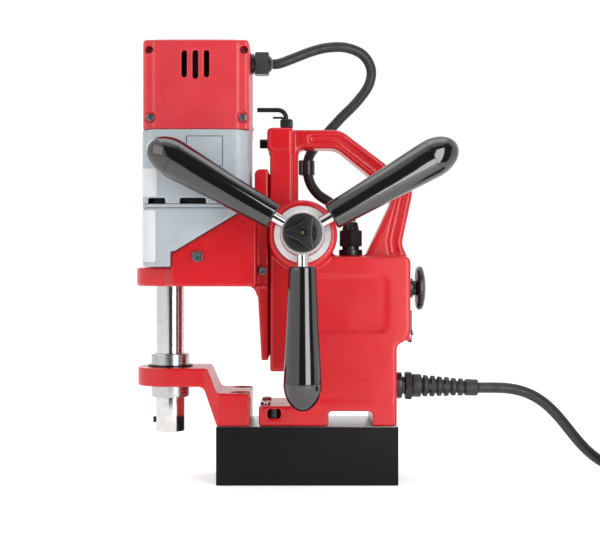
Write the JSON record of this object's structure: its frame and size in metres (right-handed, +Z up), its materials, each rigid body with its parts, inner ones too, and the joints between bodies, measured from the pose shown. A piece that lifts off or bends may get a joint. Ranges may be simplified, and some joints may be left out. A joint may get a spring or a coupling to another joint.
{
  "type": "magnetic drill press",
  "caption": "Portable drill press on an electromagnet base, with a motor unit on a dovetail slide, a feed capstan with arms, an arched carrying handle and a coiled mains cord.",
  "frame": {"origin": "middle of the electromagnet's bottom face, which rests on the workpiece", "axes": "+Z up along the spindle's axis, +X from the spindle towards the switch side, -Y towards the operator at the capstan"},
  "size_m": [0.559, 0.17, 0.4103],
  "materials": {
    "red_enamel": "red enamel on cast aluminium, gloss",
    "red_cover": "red moulded plastic, satin",
    "grey_housing": "grey paint on cast aluminium, satin",
    "grey_plastic": "grey moulded plastic, satin",
    "magnet_black": "black paint, satin",
    "coil_copper": "copper winding potted in resin",
    "black_plastic": "black moulded plastic",
    "grip_black": "black phenolic, gloss",
    "black_rubber": "black cable rubber",
    "ground_steel": "ground steel",
    "black_oxide_steel": "black oxide",
    "bright_chrome": "polished chrome",
    "turned_aluminium": "turned and satin anodised",
    "bearing_bronze": "bronze and brass",
    "board_green": "glass-fibre board"
  },
  "bodies": {
    "stand": {"magnet_body": "magnet_black", "magnet_coil": "coil_copper", "lower_bracket": "red_enamel", "bracket_bolt_front": "black_oxide_steel", "guide_bushing": "ground_steel", "retaining_ring": "black_oxide_steel", "stand_casting": "red_enamel", "stand_bolt_front": "ground_steel", "gib_strip": "bearing_bronze", "gib_screw_upper": "black_oxide_steel", "travel_stop_bolt": "black_oxide_steel", "key_holder": "black_plastic", "control_panel": "red_enamel", "circuit_board": "board_green", "stop_button_collar": "black_plastic", "rocker_frame": "black_plastic", "mains_gland": "black_plastic", "top_gland": "black_plastic", "cable_clip": "black_plastic", "interconnect_cable": "black_rubber", "strain_relief_boot": "black_rubber", "mains_cord": "black_rubber", "cord_coil": "black_rubber", "mains_plug": "black_rubber", "plug_contacts": "bearing_bronze", "pinion_bush_front": "bearing_bronze", "pinion_bush_rear": "bearing_bronze"},
    "carriage": {"carriage": "red_enamel", "slide_rack": "ground_steel", "motor_clamp_screw": "black_oxide_steel", "slide_lock_screw": "black_oxide_steel", "gear_case": "grey_housing", "motor_body": "grey_plastic", "motor_cover_front": "red_cover", "motor_cover_rear": "red_cover", "cover_screw_upper_left": "ground_steel", "cover_screw_upper_right": "ground_steel", "cover_screw_lower_left": "ground_steel", "cover_screw_lower_right": "ground_steel", "motor_stator": "ground_steel", "motor_gland": "black_plastic", "spindle_bearing": "ground_steel"},
    "spindle": {"spindle": "bright_chrome", "spindle_gear": "ground_steel", "arbor_set_screw": "black_oxide_steel"},
    "armature": {"armature": "ground_steel"},
    "idler": {"idler_gear": "ground_steel"},
    "capstan": {"pinion_shaft": "ground_steel", "capstan_hub": "turned_aluminium", "hub_cap": "black_plastic", "handle_rod_right": "bright_chrome", "handle_rod_left": "bright_chrome", "handle_rod_lower": "bright_chrome", "handle_grip_right": "grip_black", "handle_grip_left": "grip_black", "handle_grip_lower": "grip_black"},
    "stop_button": {"stop_button_head": "black_plastic"},
    "rocker": {"rocker_paddle": "black_plastic"},
    "large_key": {"hex_key_large": "black_oxide_steel"},
    "small_key": {"hex_key_small": "black_oxide_steel"}
  },
  "joints": [
    {"name": "carriage_slide", "type": "slide", "parent": "stand", "child": "carriage", "axis": [0, 0, 1], "range_m": [-0.033, 0.018], "deforming": ["interconnect_cable"]},
    {"name": "capstan_turn", "type": "hinge", "parent": "stand", "child": "capstan", "pos_m": [-0.0042, 0, 0.2265], "axis": [0, 1, 0], "range_deg": [-197, 108]},
    {"name": "armature_spin", "type": "hinge", "parent": "carriage", "child": "armature", "pos_m": [-0.1005, 0, 0.3], "axis": [0, 0, 1], "continuous": true},
    {"name": "idler_spin", "type": "hinge", "parent": "carriage", "child": "idler", "pos_m": [-0.11248, 0.01798, 0.225], "axis": [0, 0, 1], "continuous": true},
    {"name": "spindle_spin", "type": "hinge", "parent": "carriage", "child": "spindle", "pos_m": [-0.128, 0, 0.12], "axis": [0, 0, 1], "continuous": true},
    {"name": "stop_button_press", "type": "slide", "parent": "stand", "child": "stop_button", "axis": [-1, 0, 0], "range_m": [0, 0.003], "stiffness_N_per_m": 600, "springref_m": -0.004},
    {"name": "rocker_tilt", "type": "hinge", "parent": "stand", "child": "rocker", "pos_m": [0.092, 0, 0.1425], "axis": [0, 1, 0], "range_deg": [0, 16]},
    {"name": "large_key_lift", "type": "slide", "parent": "stand", "child": "large_key", "axis": [0, 0, 1], "range_m": [0, 0.03]},
    {"name": "small_key_lift", "type": "slide", "parent": "stand", "child": "small_key", "axis": [0, 0, 1], "range_m": [0, 0.03]}
  ],
  "couplings": [
    {"joint": "capstan_turn", "follows": "carriage_slide", "rad_per_m": 102.56},
    {"joint": "idler_spin", "follows": "armature_spin", "ratio": -0.28571},
    {"joint": "spindle_spin", "follows": "armature_spin", "ratio": 0.13187}
  ]
}
